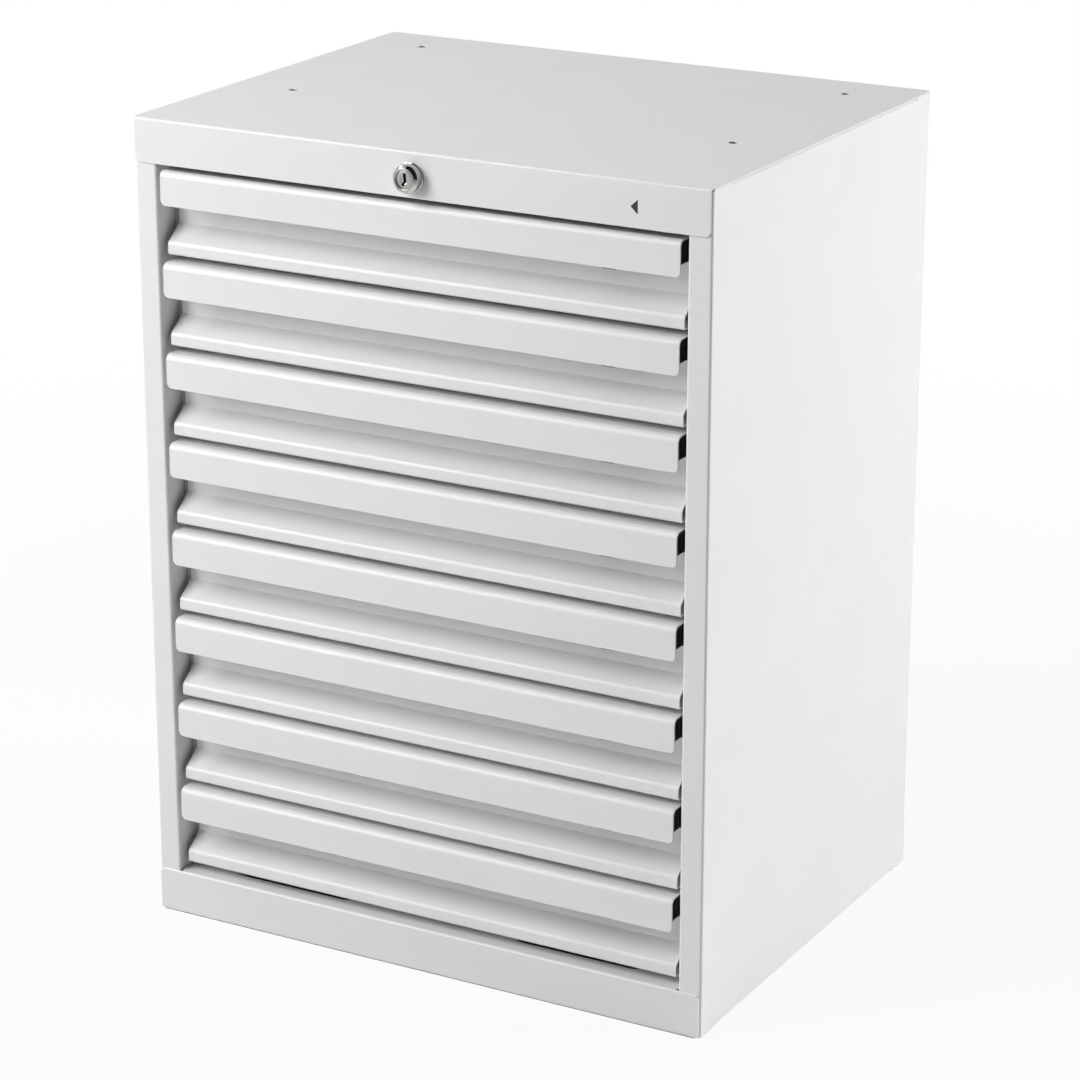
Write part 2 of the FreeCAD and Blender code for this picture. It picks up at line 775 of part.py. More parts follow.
def lock_rod():
    """Rod from the plug to the rear, with a crank whose pin works the lock bar."""
    rod = round_bar(rod_radius, (lock_rod_start, crank_rear), 0, lock_height)
    pin_x = crank_radius * math.cos(half_swing)
    pin_z = lock_height + crank_lift
    arm_length = (-crank_width / 2, crank_radius + crank_width / 2)
    arm = block(arm_length, (crank_front, crank_rear), (-crank_width / 2, crank_width / 2))
    arm.rotate(FreeCAD.Vector(0, 0, 0), FreeCAD.Vector(0, 1, 0), -crank_swing / 2)
    arm.translate(FreeCAD.Vector(0, 0, lock_height))
    pin = round_bar(crank_pin_radius, (crank_front, lock_bar_rear), pin_x, pin_z)
    return rod.fuse([arm, pin]).removeSplitter()


def lock_rod_bracket():
    """Angle under the top plate that carries the rear end of the lock rod."""
    half_sheet = case_sheet / 2
    plate = crank_front - rod_bracket_before_crank
    profile = [
        (plate, lock_height - rod_bracket_width / 2),
        (plate, under_top - half_sheet),
        (plate - rod_bracket_foot, under_top - half_sheet),
    ]
    section = folded_section(profile, [0], case_sheet, in_side_view)
    section.translate(FreeCAD.Vector(-rod_bracket_width / 2, 0, 0))
    bracket = section.extrude(FreeCAD.Vector(rod_bracket_width, 0, 0))
    bore = round_bar(rod_radius + plug_clearance, (plate - case_sheet, plate + case_sheet), 0, lock_height)
    return bracket.cut(bore)


def lock_bar():
    """Flat bar down the back, with a cross slot for the crank pin and a peg over each drawer's lug."""
    across = (lock_bar_x - lock_bar_width / 2, lock_bar_x + lock_bar_width / 2)
    pin_height = lock_height + crank_lift
    low = drawer_floor(drawer_count - 1) + lug_height
    high = pin_height + crank_pin_radius + yoke_clearance + case_sheet
    bar = block(across, (lock_bar_front, lock_bar_rear), (low, high))
    half_slot = crank_pin_radius + yoke_clearance
    slot_x = (crank_radius * math.cos(half_swing) - half_slot, crank_radius + half_slot)
    slot_y = (lock_bar_front - cut_over, lock_bar_rear + cut_over)
    bar = bar.cut(block(slot_x, slot_y, (pin_height - half_slot, pin_height + half_slot)))
    pegs = []
    peg_x = (lock_bar_x - peg_width / 2, lock_bar_x + peg_width / 2)
    for index in range(drawer_count):
        tip = drawer_floor(index) + lug_height + peg_lift
        finger = block(peg_x, (peg_front, peg_front + peg_thickness), (tip, tip + peg_length + peg_thickness))
        arm_z = (tip + peg_length, tip + peg_length + peg_thickness)
        pegs += [finger, block(peg_x, (peg_front, lock_bar_front), arm_z)]
    return bar.fuse(pegs).removeSplitter()


def lock_bar_guides():
    """Three staples on the back panel, in which the lock bar slides."""
    half_sheet = guide_sheet / 2
    foot = back_inside - half_sheet
    web = lock_bar_front - sheet_gap - half_sheet
    wall = lock_bar_width / 2 + sheet_gap + half_sheet
    plan = [
        (lock_bar_x - wall - guide_foot, foot),
        (lock_bar_x - wall, foot),
        (lock_bar_x - wall, web),
        (lock_bar_x + wall, web),
        (lock_bar_x + wall, foot),
        (lock_bar_x + wall + guide_foot, foot),
    ]
    guides = []
    for index in (0, drawer_count // 2, drawer_count - 1):
        section = folded_section(plan, [0] * 4, guide_sheet, in_plan)
        middle = drawer_floor(index) + lug_height + guide_above_lug
        section.translate(FreeCAD.Vector(0, 0, middle - guide_height / 2))
        guides.append(section.extrude(FreeCAD.Vector(0, 0, guide_height)))
    return Part.makeCompound(guides)


def build_case():
    panel = side_panel()
    save("left_side_panel", mirrored(panel))
    save("right_side_panel", panel.cut(jamb_slots()))
    save("top_panel", top_panel())
    save("base_panel", base_panel())
    save("back_panel", back_panel())
    save("base_channel", base_channel())
    uprights = slide_uprights()
    save("slide_uprights_right", uprights)
    save("slide_uprights_left", mirrored(uprights))


def build_drawers():
    """One drawer is made on the ground plane and set at each drawer's height."""
    front_piece = drawer_front()
    box = drawer_box()
    latch = drawer_latch()
    cabinet_member, middle_member, drawer_member = slide_members()
    fixed_members = []
    for index in range(drawer_count):
        up = FreeCAD.Vector(0, 0, drawer_floor(index))
        name = "drawer_" + str(index + 1)
        save(name + "_front", front_piece.translated(up))
        save(name + "_box", box.translated(up))
        save(name + "_latch", latch.translated(up))
        runner = drawer_member.translated(up)
        save(name + "_slide_runners", Part.makeCompound([runner, mirrored(runner)]))
        middle = middle_member.translated(up)
        save(name + "_slide_middles", Part.makeCompound([middle, mirrored(middle)]))
        fixed_members.append(cabinet_member.translated(up))
    fixed = Part.makeCompound(fixed_members)
    save("slide_cabinet_members_right", fixed)
    save("slide_cabinet_members_left", mirrored(fixed))


def build_lock():
    save("lock_housing", lock_housing())
    save("lock_plug", lock_plug())
    save("lock_nut", lock_nut())
    save("lock_rod", lock_rod())
    save("lock_rod_bracket", lock_rod_bracket())
    save("lock_bar", lock_bar())
    save("lock_bar_guides", lock_bar_guides())


os.makedirs("parts", exist_ok=True)
build_case()
build_drawers()
build_lock()
print("drawer pitch", round(drawer_pitch, 2), "lock bar travel", round(lock_bar_travel, 2))
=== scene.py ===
# %% [markdown]
# # A van drawer cabinet
# A white steel cabinet with eight latching drawers and one lock, as it is bolted into a van. Nearly all of it
# is sheet steel that was cut flat, folded and powder coated. So the lesson is about folded sheet: how a fold
# looks, why a cut edge catches the light, and how a semi-gloss coat answers soft light.
# The measured part comes first, as a frame that stays where it is. Everything else is fitted to it.

import json
import math
import bmesh
import bpy
from mathutils import Matrix, Vector

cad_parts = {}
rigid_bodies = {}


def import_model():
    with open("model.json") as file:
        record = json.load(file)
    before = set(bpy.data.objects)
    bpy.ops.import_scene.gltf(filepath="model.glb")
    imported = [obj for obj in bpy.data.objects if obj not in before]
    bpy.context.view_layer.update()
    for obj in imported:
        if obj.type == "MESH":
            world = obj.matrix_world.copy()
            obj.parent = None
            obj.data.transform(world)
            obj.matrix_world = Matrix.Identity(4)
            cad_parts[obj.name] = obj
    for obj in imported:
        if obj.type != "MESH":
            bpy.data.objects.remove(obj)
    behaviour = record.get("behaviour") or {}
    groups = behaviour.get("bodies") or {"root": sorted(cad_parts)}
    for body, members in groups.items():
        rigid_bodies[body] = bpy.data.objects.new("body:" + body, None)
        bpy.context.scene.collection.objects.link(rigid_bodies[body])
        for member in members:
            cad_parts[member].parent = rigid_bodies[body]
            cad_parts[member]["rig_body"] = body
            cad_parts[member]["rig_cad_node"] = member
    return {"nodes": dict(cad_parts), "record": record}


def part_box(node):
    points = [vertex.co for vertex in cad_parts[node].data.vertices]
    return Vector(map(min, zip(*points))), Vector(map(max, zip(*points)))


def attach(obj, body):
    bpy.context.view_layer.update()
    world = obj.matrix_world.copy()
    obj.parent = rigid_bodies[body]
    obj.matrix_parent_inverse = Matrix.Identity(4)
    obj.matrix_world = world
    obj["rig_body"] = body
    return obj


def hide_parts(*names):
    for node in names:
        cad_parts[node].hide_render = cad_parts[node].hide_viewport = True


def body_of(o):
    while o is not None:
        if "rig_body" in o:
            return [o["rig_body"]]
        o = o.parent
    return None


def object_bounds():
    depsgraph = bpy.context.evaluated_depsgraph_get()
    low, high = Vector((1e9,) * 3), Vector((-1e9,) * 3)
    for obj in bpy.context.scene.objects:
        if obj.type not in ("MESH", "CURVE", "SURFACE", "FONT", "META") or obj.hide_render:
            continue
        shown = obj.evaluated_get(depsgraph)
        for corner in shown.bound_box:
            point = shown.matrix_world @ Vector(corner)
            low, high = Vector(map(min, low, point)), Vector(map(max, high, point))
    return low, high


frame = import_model()
measured_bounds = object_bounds()
mm = 0.001
drawer_count = sum(name.startswith("drawer_") and name.endswith("_front") for name in frame["nodes"])
slot_of = {entry["node"]: entry["material_slot"] for entry in frame["record"]["subparts"]}
print("nodes", len(frame["nodes"]), "drawers", drawer_count)

# %% [markdown]
# ## A few habits
# Blender's operators act on whatever is selected, so each step here begins by selecting exactly what it is
# about. By hand that is a click; in a script it is a test of where a face or an edge lies.

# %% Choosing by place
def alone(piece):
    """Selects one object and nothing else."""
    bpy.ops.object.select_all(action="DESELECT")
    piece.select_set(True)
    bpy.context.view_layer.objects.active = piece


def start_edit(piece, kind):
    """Opens a piece in edit mode, for picking VERT, EDGE or FACE."""
    alone(piece)
    bpy.ops.object.mode_set(mode="EDIT")
    bpy.ops.mesh.select_mode(type=kind)
    bpy.ops.mesh.select_all(action="DESELECT")


def pick(kind, test):
    """Selects the verts, edges or faces of the open piece whose middle passes the test, and nothing else."""
    mesh = bpy.context.edit_object.data
    opened = bmesh.from_edit_mesh(mesh)
    bpy.ops.mesh.select_mode(type={"verts": "VERT", "edges": "EDGE", "faces": "FACE"}[kind])
    bpy.ops.mesh.select_all(action="DESELECT")
    for element in getattr(opened, kind):
        corners = [element] if kind == "verts" else list(element.verts)
        middle = sum((corner.co for corner in corners), Vector()) / len(corners)
        if test(middle):
            element.select_set(True)
    opened.select_flush_mode()
    bmesh.update_edit_mesh(mesh)


def end_edit():
    """Closes edit mode, which writes the changes to the mesh."""
    bpy.ops.object.mode_set(mode="OBJECT")


def near(a, b, reach=0.05 * mm):
    """True where two places differ by less than the reach, which is far less than any sheet is thick."""
    return abs(a - b) < reach


# %% [markdown]
# ## Finishing a piece
# A finished piece keeps its place in its mesh, so its object is set back to the origin with the transforms
# applied. Modifiers are applied too, so what is looked at is what is kept. Soft edges need honest shading:
# the wide flat faces should stay flat, and only the narrow rounded edges should bend the light. Weighted
# normals do that, because they let the large faces win.

# %% Applying what was built
merge_reach = 0.002 * mm


def apply_modifiers(piece):
    """Makes what the modifiers show the piece's own mesh, in their order."""
    alone(piece)
    for modifier in list(piece.modifiers):
        bpy.ops.object.modifier_apply(modifier=modifier.name)


def apply_place(piece):
    """Moves a piece's place, turn and size from its object into its mesh."""
    alone(piece)
    bpy.ops.object.transform_apply(location=True, rotation=True, scale=True)


def soften(piece, width, steps=3, corner=50, crowded=False):
    """Rounds the cut edges that are sharper than the given corner in degrees, and shades them softly.

    A crowded piece has edges shorter than the rounding is wide, so there the rounding narrows before it
    overlaps itself.
    """
    rounding = piece.modifiers.new("rounded edges", "BEVEL")
    rounding.width = width
    rounding.segments = steps
    rounding.limit_method = "ANGLE"
    rounding.angle_limit = math.radians(corner)
    rounding.use_clamp_overlap = crowded
    rounding.loop_slide = not crowded
    apply_modifiers(piece)
    bpy.ops.object.shade_smooth_by_angle(angle=math.radians(corner))
    weighting = piece.modifiers.new("flat faces stay flat", "WEIGHTED_NORMAL")
    weighting.keep_sharp = True
    apply_modifiers(piece)


def thicken(piece, sheet):
    """Gives a folded surface its sheet thickness, half on each side."""
    walls = piece.modifiers.new("sheet", "SOLIDIFY")
    walls.thickness = sheet
    walls.offset = 0
    walls.use_even_offset = True
    apply_modifiers(piece)


def hand_over(piece, body, nodes, slot, finish=None):
    """Puts a finished piece on its body, in the place of the nodes that it stands for.

    It gets its slot's finish, unless it is given one of its own.
    """
    piece.data.materials.clear()
    piece.data.materials.append(finish or finishes[slot])
    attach(piece, body)
    if nodes:
        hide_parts(*nodes)


# %% [markdown]
# ## Finishes
# A finish starts from what the real one is and how it was made. Colours are written as the hex values that a
# paint chart gives, and one function turns them into the linear values that the renderer works with. A Mix
# node has several sockets of the same name, so its two colours and their mixture go by number.

# %% Colour and node helpers
first_colour, second_colour = 6, 7
mixed_colour = 2


def linear(hex_code):
    """An sRGB hex colour as linear red, green, blue and full opacity, by the formula of that standard."""
    channels = []
    for start in (1, 3, 5):
        value = int(hex_code[start:start + 2], 16) / 255
        channels.append(value / 12.92 if value <= 0.04045 else ((value + 0.055) / 1.055) ** 2.4)
    return (*channels, 1.0)


def add_node(material, kind, settings=None, values=None, links=None):
    """Adds a node with its settings, the values of its sockets, and the outputs that are wired to it."""
    tree = material.node_tree
    made = tree.nodes.new(kind)
    for name, setting in (settings or {}).items():
        setattr(made, name, setting)
    for name, value in (values or {}).items():
        made.inputs[name].default_value = value
    for name, source in (links or {}).items():
        tree.links.new(source, made.inputs[name])
    return made


def new_finish(name):
    """An empty material, and the place of each point on the object as its first node."""
    material = bpy.data.materials.new(name)
    material.use_nodes = True
    material.node_tree.nodes.clear()
    place = add_node(material, "ShaderNodeTexCoord").outputs["Object"]
    return material, place


def show(material, shader):
    """Ends a material with the shader that is seen."""
    add_node(material, "ShaderNodeOutputMaterial", links={"Surface": shader.outputs[0]})
    print("finish", material.name)


# %% [markdown]
# ### White powder coat
# Polyester powder, sprayed dry and baked at about 190 degrees. It flows out into a skin some 70 micrometres
# thick, which is never quite flat: the slow waves, 2 to 3 mm long, are called orange peel. They don't change
# the colour. They break up the reflection, and that tells the eye that this is a coat and not paper. A
# second, much longer wave makes the gloss a little uneven, as a coat of uneven thickness is.

# %% White powder coat, semi-gloss
orange_peel = 2.4 * mm
coat_cloud = 60 * mm


def make_powder_coat(name, colour, colour_thin, roughness_low, roughness_high):
    material, place = new_finish(name)
    cloud = add_node(
        material, "ShaderNodeTexNoise",
        values={"Scale": 1 / coat_cloud, "Detail": 2.0, "Roughness": 0.5},
        links={"Vector": place},
    )
    tone = add_node(
        material, "ShaderNodeMix",
        settings={"data_type": "RGBA"},
        links={"Factor": cloud.outputs["Fac"]},
    )
    tone.inputs[first_colour].default_value = linear(colour)
    tone.inputs[second_colour].default_value = linear(colour_thin)
    roughness = add_node(
        material, "ShaderNodeMapRange",
        values={"To Min": roughness_low, "To Max": roughness_high},
        links={"Value": cloud.outputs["Fac"]},
    )
    peel = add_node(
        material, "ShaderNodeTexNoise",
        values={"Scale": 1 / orange_peel, "Detail": 1.0, "Roughness": 0.4},
        links={"Vector": place},
    )
    skin = add_node(
        material, "ShaderNodeBump",
        values={"Strength": 0.13, "Distance": 0.02 * mm},
        links={"Height": peel.outputs["Fac"]},
    )
    shader = add_node(
        material, "ShaderNodeBsdfPrincipled",
        values={"IOR": 1.5},
        links={
            "Base Color": tone.outputs[mixed_colour],
            "Roughness": roughness.outputs["Result"],
            "Normal": skin.outputs["Normal"],
        },
    )
    show(material, shader)
    return material


white_powder_coat = make_powder_coat(
    "white_powder_coat", colour="#EBEBEB", colour_thin="#E7E7E7", roughness_low=0.28, roughness_high=0.36
)

# %% [markdown]
# ### Zinc plated steel
# The slides, the lock rod and the lock bar are cold-rolled steel with a few micrometres of bright zinc. The
# rolling leaves fine lines along the steel, and the zinc's bluish passivation is slightly cloudy. The lines
# are drawn wider than they are, about 0.4 mm, because finer ones would vanish at this size. They run along
# the slides because the pattern is stretched fifty times in that direction.

# %% Zinc plated steel, cold-rolled
rolling_line = 0.4 * mm
line_stretch = 0.02
zinc_cloud = 14 * mm


def make_zinc():
    material, place = new_finish("zinc_plated_steel")
    stretched = add_node(
        material, "ShaderNodeMapping",
        values={"Scale": (1.0, line_stretch, 1.0)},
        links={"Vector": place},
    )
    lines = add_node(
        material, "ShaderNodeTexNoise",
        values={"Scale": 1 / rolling_line, "Detail": 2.0},
        links={"Vector": stretched.outputs["Vector"]},
    )
    cloud = add_node(
        material, "ShaderNodeTexNoise",
        values={"Scale": 1 / zinc_cloud, "Detail": 3.0},
        links={"Vector": place},
    )
    tone = add_node(
        material, "ShaderNodeMix",
        settings={"data_type": "RGBA"},
        links={"Factor": cloud.outputs["Fac"]},
    )
    tone.inputs[first_colour].default_value = linear("#BFC3C7")
    tone.inputs[second_colour].default_value = linear("#D0D2D2")
    roughness = add_node(
        material, "ShaderNodeMapRange",
        values={"To Min": 0.28, "To Max": 0.46},
        links={"Value": lines.outputs["Fac"]},
    )
    skin = add_node(
        material, "ShaderNodeBump",
        values={"Strength": 0.25, "Distance": 0.01 * mm},
        links={"Height": lines.outputs["Fac"]},
    )
    shader = add_node(
        material, "ShaderNodeBsdfPrincipled",
        values={"Metallic": 1.0},
        links={
            "Base Color": tone.outputs[mixed_colour],
            "Roughness": roughness.outputs["Result"],
            "Normal": skin.outputs["Normal"],
        },
    )
    show(material, shader)
    return material


zinc_plated_steel = make_zinc()

# %% [markdown]
# ### Black moulded plastic
# The latches are acetal, moulded in a spark-eroded tool. The tool leaves a fine dull grain, which scatters
# the light and makes the black look dark grey where a lamp faces it. The grain is about 0.3 mm wide.

# %% Black acetal, spark-eroded grain
moulded_grain = 0.3 * mm


def make_black_plastic():
    material, place = new_finish("black_plastic")
    grain = add_node(
        material, "ShaderNodeTexNoise",
        values={"Scale": 1 / moulded_grain, "Detail": 3.0},
        links={"Vector": place},
    )
    skin = add_node(
        material, "ShaderNodeBump",
        values={"Strength": 0.4, "Distance": 0.02 * mm},
        links={"Height": grain.outputs["Fac"]},
    )
    roughness = add_node(
        material, "ShaderNodeMapRange",
        values={"To Min": 0.42, "To Max": 0.6},
        links={"Value": grain.outputs["Fac"]},
    )
    shader = add_node(
        material, "ShaderNodeBsdfPrincipled",
        values={"Base Color": linear("#1B1B1C"), "IOR": 1.48},
        links={"Roughness": roughness.outputs["Result"], "Normal": skin.outputs["Normal"]},
    )
    show(material, shader)
    return material


black_plastic = make_black_plastic()

# %% [markdown]
# ### Polished nickel
# The lock is die-cast zinc, polished and nickel plated. It is a mirror with a warm grey cast, and what it
# shows is its surroundings: the white studio, a soft box and a dark flag. Fine polishing marks keep it from
# being a perfect mirror. The plug's face is worn by keys, so its nickel is satin: darker, duller and with
# deeper marks.

# %% Polished nickel plate
polishing_mark = 0.5 * mm


def make_nickel(name, colour, roughness_low, roughness_high, mark_depth):
    material, place = new_finish(name)
    marks = add_node(
        material, "ShaderNodeTexNoise",
        values={"Scale": 1 / polishing_mark, "Detail": 4.0},
        links={"Vector": place},
    )
    roughness = add_node(
        material, "ShaderNodeMapRange",
        values={"To Min": roughness_low, "To Max": roughness_high},
        links={"Value": marks.outputs["Fac"]},
    )
    skin = add_node(
        material, "ShaderNodeBump",
        values={"Strength": mark_depth, "Distance": 0.01 * mm},
        links={"Height": marks.outputs["Fac"]},
    )
    shader = add_node(
        material, "ShaderNodeBsdfPrincipled",
        values={"Base Color": linear(colour), "Metallic": 1.0},
        links={"Roughness": roughness.outputs["Result"], "Normal": skin.outputs["Normal"]},
    )
    show(material, shader)
    return material


polished_nickel = make_nickel(
    "polished_nickel", "#C4C3C1", roughness_low=0.03, roughness_high=0.1, mark_depth=0.1
)
satin_nickel = make_nickel(
    "satin_nickel", "#A9A8A6", roughness_low=0.2, roughness_high=0.42, mark_depth=0.5
)

# %% [markdown]
# ### Black screen print
# One small arrow is printed on the header. Screen ink lies on the coat as a thin matte film, and a few
# pinholes show the weave of the screen.

# %% Black ink, screen printed
screen_thread = 0.25 * mm


def make_print():
    material, place = new_finish("black_screen_print")
    pinholes = add_node(
        material, "ShaderNodeTexNoise",
        values={"Scale": 1 / screen_thread, "Detail": 1.0},
        links={"Vector": place},
    )
    tone = add_node(
        material, "ShaderNodeMix",
        settings={"data_type": "RGBA"},
        links={"Factor": pinholes.outputs["Fac"]},
    )
    tone.inputs[first_colour].default_value = linear("#141414")
    tone.inputs[second_colour].default_value = linear("#2A2A2A")
    film = add_node(
        material, "ShaderNodeBump",
        values={"Strength": 0.2, "Distance": 0.01 * mm},
        links={"Height": pinholes.outputs["Fac"]},
    )
    shader = add_node(
        material, "ShaderNodeBsdfPrincipled",
        values={"Roughness": 0.55, "IOR": 1.5},
        links={"Base Color": tone.outputs[mixed_colour], "Normal": film.outputs["Normal"]},
    )
    show(material, shader)
    return material


black_screen_print = make_print()

# %% Which finish each slot has
finishes = {
    "white_powder_coat": white_powder_coat,
    "zinc_plated_steel": zinc_plated_steel,
    "black_plastic": black_plastic,
    "polished_nickel": polished_nickel,
}
print("slots with a finish", len(finishes))

# %% [markdown]
# ## Drawer fronts
# Each drawer front is one sheet, folded five times: a pull lip to hook the fingers behind, a top flange, a
# recess, a slope that sweeps dirt out, and a lower lip. It could be a solid with pieces cut away, but a
# folded sheet is quicker to model as it is made: a flat strip, one extrusion for each leg, round folds, then
# the thickness. The section is drawn as the middle of the sheet, by distances behind the front plane and
# heights above the drawer's lower edge.

# %% The section of a drawer front
front_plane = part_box("top_panel")[0].y
sheet = 1.2 * mm
half_sheet = sheet / 2
front_low, front_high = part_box("drawer_1_front")
front_half = front_high.x
front_height = front_high.z - front_low.z
pull_y = front_low.y + half_sheet
pull_height = 25.4 * mm
pull_bend = 4.4 * mm
pull_corner = 4.0 * mm
recess_y = front_plane + 21.0 * mm + half_sheet
crease_height = 20.4 * mm
foot_height = 8.7 * mm
lower_y = front_plane + 6.0 * mm + half_sheet
bottom_flange = 22.0 * mm
fold = 1.4 * mm
foot_fold = 3.6 * mm
front_edge = 0.42 * mm
print("drawer front", round(2 * front_half / mm, 1), "x", round(front_height / mm, 1), "mm")

# %% Fold one drawer front
def upright_strip(middle_x, y, width, bottom, top):
    """A flat strip of sheet, upright and facing the front, as the start of a fold."""
    bpy.ops.object.select_all(action="DESELECT")
    bpy.ops.mesh.primitive_plane_add(
        size=1, rotation=(math.pi / 2, 0, 0), location=(middle_x, y, (bottom + top) / 2)
    )
    strip = bpy.context.object
    strip.scale = (width, top - bottom, 1)
    apply_place(strip)
    return strip


def extrude_by(y, z):
    """Adds the next leg of the section to the selected edge."""
    bpy.ops.mesh.extrude_region_move(TRANSFORM_OT_translate={"value": (0, y, z)})


def round_fold(y, z, radius, turn=90, steps=5, middle_x=0):
    """Rounds the fold that runs along X at one place of the section.

    The radius is that of the sheet's middle. A turn of so many degrees takes up a length of the radius times
    the tangent of half the turn on each leg.
    """
    pick("edges", lambda middle: near(middle.y, y) and near(middle.z, z) and near(middle.x, middle_x))
    reach = radius * math.tan(math.radians(turn) / 2)
    bpy.ops.mesh.bevel(offset=reach, segments=steps, profile=0.5, affect="EDGES", clamp_overlap=False)


def round_corners(x, y, z, radius, steps=6):
    """Rounds the sheet's two corners at one width, depth and height."""
    pick("verts", lambda at: near(abs(at.x), x) and near(at.z, z) and near(at.y, y, mm))
    bpy.ops.mesh.bevel(offset=radius, segments=steps, profile=0.5, affect="VERTICES", clamp_overlap=False)


floor_z = front_low.z
top_z = front_high.z - half_sheet
lip_z = front_high.z - pull_height
drawer_front = upright_strip(0, pull_y, 2 * front_half, lip_z, top_z)
start_edit(drawer_front, "EDGE")
pick("edges", lambda middle: near(middle.z, top_z))
extrude_by(recess_y - pull_y, 0)
extrude_by(0, floor_z + crease_height - top_z)
extrude_by(lower_y - recess_y, foot_height - crease_height)
extrude_by(0, half_sheet - foot_height)
extrude_by(bottom_flange, 0)
slope_turn = math.degrees(math.atan2(recess_y - lower_y, crease_height - foot_height))
round_fold(pull_y, top_z, pull_bend, steps=10)
round_fold(recess_y, top_z, fold)
round_fold(recess_y, floor_z + crease_height, fold, slope_turn)
round_fold(lower_y, floor_z + foot_height, foot_fold, slope_turn, steps=6)
round_fold(lower_y, floor_z + half_sheet, fold)
round_corners(front_half, pull_y, lip_z, pull_corner)
end_edit()
thicken(drawer_front, sheet)
soften(drawer_front, front_edge)
print("slope turns", round(slope_turn, 1), "degrees, faces", len(drawer_front.data.polygons))

# %% One front for each drawer
def lifted_copy(piece, name, lift):
    """A copy with its own mesh, moved up by the given height."""
    twin = piece.copy()
    twin.data = piece.data.copy()
    twin.name = name
    twin.data.name = name
    bpy.context.scene.collection.objects.link(twin)
    twin.data.transform(Matrix.Translation((0, 0, lift)))
    return twin


def for_each_drawer(piece, word, node_word, body_word, slot):
    """Copies the top drawer's piece to every drawer.

    The words name the copies, the nodes that they stand for and the end of their bodies' names.
    """
    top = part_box("drawer_1_front")[0].z
    for index in range(1, drawer_count + 1):
        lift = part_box("drawer_%d_front" % index)[0].z - top
        twin = lifted_copy(piece, "%s_%d" % (word, index), lift)
        nodes = ["drawer_%d_%s" % (index, node_word)] if node_word else []
        hand_over(twin, ("drawer_%d" % index) + body_word, nodes, slot)
    bpy.data.objects.remove(piece)


for_each_drawer(drawer_front, "folded_front", "front", "", "white_powder_coat")

# %% [markdown]
# ## Latch keepers
# Behind each pull lip a small angle carries the latch's head, so that it can slide but not drop. It is folded
# as the front was: a strip, one extrusion and one round fold. It is a piece of its own, because a sheet can't
# branch: a real one would be welded on. Behind and below the latch it leaves the same small play.

# %% Fold one keeper
latch_low, latch_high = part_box("drawer_1_latch")
latch_clearance = 0.3 * mm
latch_height = 15.1 * mm
latch_depth = 17.0 * mm
keeper_length = 34.0 * mm
keeper_end_gap = 2.0 * mm
keeper_foot_gap = 2.0 * mm
keeper_fold = 0.7 * mm
strip_edge = 0.3 * mm
head_bottom = latch_high.z - latch_height
keeper_middle = front_half - keeper_end_gap - keeper_length / 2
keeper_leg_y = latch_low.y + latch_depth + latch_clearance + half_sheet
keeper_foot_z = head_bottom - latch_clearance - half_sheet
keeper_foot_end = latch_low.y + keeper_foot_gap
keeper = upright_strip(keeper_middle, keeper_leg_y, keeper_length, keeper_foot_z, front_high.z - sheet)
start_edit(keeper, "EDGE")
pick("edges", lambda middle: near(middle.z, keeper_foot_z))
extrude_by(keeper_foot_end - keeper_leg_y, 0)
round_fold(keeper_leg_y, keeper_foot_z, keeper_fold, steps=4, middle_x=keeper_middle)
end_edit()
thicken(keeper, sheet)
soften(keeper, strip_edge)
for_each_drawer(keeper, "latch_keeper", "", "", "white_powder_coat")
print("keepers", drawer_count)

# %% [markdown]
# ## Latches
# Each latch is one black moulding. Its head fills the end of the pull lip, and its end face has a hollow, as
# a thick moulding needs so that it doesn't sink. Its slanted tongue enters the jamb and slides back when the
# drawer shuts. A bar runs along the inside of the lip, and a tab peeks out below for the finger. It could be
# one extruded outline, but its parts have different depths, so each is a block with its own softened edges,
# and the four are joined.

# %% Blocks for a moulding
def moulded_block(x_range, y_range, z_range):
    """A block between two widths, depths and heights, as the start of a shape."""
    bpy.ops.object.select_all(action="DESELECT")
    middle = [(low + high) / 2 for low, high in (x_range, y_range, z_range)]
    bpy.ops.mesh.primitive_cube_add(size=1, location=middle)
    made = bpy.context.object
    made.scale = [high - low for low, high in (x_range, y_range, z_range)]
    apply_place(made)
    return made


def joined(pieces, name):
    """Joins pieces into the first of them."""
    bpy.ops.object.select_all(action="DESELECT")
    for piece in pieces:
        piece.select_set(True)
    bpy.context.view_layer.objects.active = pieces[0]
    bpy.ops.object.join()
    made = bpy.context.object
    made.name = name
    return made

# %% Head with its hollow
joint_overlap = mm
latch_head_length = 20.0 * mm
head_round = 3.5 * mm
hollow_wall = 1.5 * mm
hollow_draft = 0.3 * mm
hollow_depth = 0.9 * mm
hollow_to_tongue = 0.6 * mm
tongue_inset = 9.5 * mm
tongue_depth = 7.5 * mm
tongue_front = front_plane + tongue_inset
tongue_rear = tongue_front + tongue_depth
head_left = front_half - latch_head_length
head_depth = (latch_low.y, latch_low.y + latch_depth)
head_height = (head_bottom, latch_high.z)
head = moulded_block((head_left, front_half), head_depth, head_height)
start_edit(head, "EDGE")
pick("edges", lambda middle: near(middle.z, latch_high.z) and near(middle.y, latch_low.y))
bpy.ops.mesh.bevel(offset=head_round, segments=8, profile=0.5, affect="EDGES")
bpy.ops.mesh.select_all(action="SELECT")
hollow_end = tongue_front - hollow_to_tongue
bpy.ops.mesh.bisect(plane_co=(0, hollow_end, 0), plane_no=(0, 1, 0))
pick("faces", lambda middle: near(middle.x, front_half) and middle.y < hollow_end)
bpy.ops.mesh.inset(thickness=hollow_wall, depth=0)
bpy.ops.mesh.inset(thickness=hollow_draft, depth=-hollow_depth)
end_edit()
print("head", round(latch_head_length / mm, 1), "mm long, hollow", round(hollow_depth / mm, 1), "mm deep")

